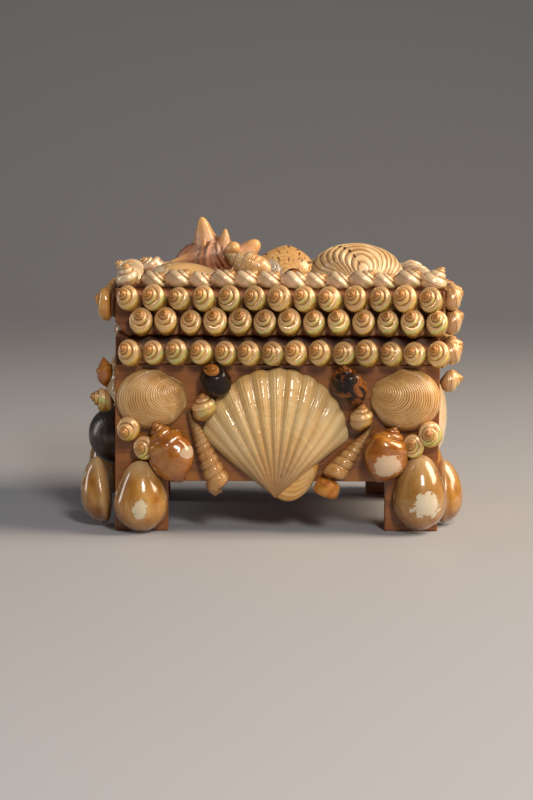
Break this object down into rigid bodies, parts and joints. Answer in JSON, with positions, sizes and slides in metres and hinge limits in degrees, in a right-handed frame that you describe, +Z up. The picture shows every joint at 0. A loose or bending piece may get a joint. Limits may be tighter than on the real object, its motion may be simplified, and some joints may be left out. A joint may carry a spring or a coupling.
{
  "type": "shell box",
  "caption": "Small wooden casket on four feet with a lift-off lid, covered with varnished sea shells in rows along the edges and larger shells on the sides and top.",
  "frame": {"origin": "on the ground, under the middle of the box", "axes": "+X to the right as seen from the front, +Y from the front to the back, +Z up"},
  "size_m": [0.1829, 0.1534, 0.1449],
  "materials": {
    "wood": "varnished",
    "pearl": "varnished mother-of-pearl",
    "amber": "glossy",
    "cream": "satin varnish",
    "tan": "satin varnish",
    "pale": "satin varnish",
    "black": "glossy",
    "brown": "glossy",
    "dark": "satin varnish",
    "orange": "glossy"
  },
  "bodies": {
    "root": {"body_front_board": "wood", "body_back_board": "wood", "body_left_board": "wood", "body_right_board": "wood", "body_floor_board": "wood", "lid_top_board": "wood", "lid_front_board": "wood", "lid_back_board": "wood", "lid_left_board": "wood", "lid_right_board": "wood", "front_lid_rows": "pearl", "front_body_row": "pearl", "front_edge_row": "pearl", "back_lid_rows": "pearl", "back_body_row": "pearl", "back_edge_row": "pearl", "right_lid_rows": "pearl", "right_body_row": "pearl", "right_edge_row": "pearl", "left_edge_row": "pearl", "front_left_top": "pearl", "front_right_top": "pearl", "front_left_top_pair": "pearl", "front_right_top_pair": "pearl", "left_top": "pearl", "right_front_top": "pearl", "right_back_top": "pearl", "left_lid_row": "amber", "front_left_cowrie": "amber", "front_right_cowrie": "amber", "left_front_cowrie": "amber", "left_back_cowrie": "amber", "right_front_cowrie": "amber", "right_back_cowrie": "amber", "back_left_cowrie": "amber", "back_right_cowrie": "amber", "lid_cowrie": "amber", "front_scallop": "cream", "left_valve": "cream", "back_scallop": "cream", "lid_striped_clam": "cream", "front_left_clam": "tan", "front_right_clam": "tan", "front_left_turret": "tan", "front_right_turret": "tan", "back_left_clam": "tan", "back_right_clam": "tan", "lid_whelk": "tan", "lid_spotted_valve": "tan", "front_rear_valve": "pale", "right_valve": "pale", "lid_nerite": "pale", "front_left_nerite": "black", "lid_black_shell": "black", "front_right_nerite": "brown", "left_mussel": "dark", "front_left_whelk": "orange", "front_right_whelk": "orange", "left_whelk": "orange", "lid_conch": "orange"}
  },
  "joints": []
}
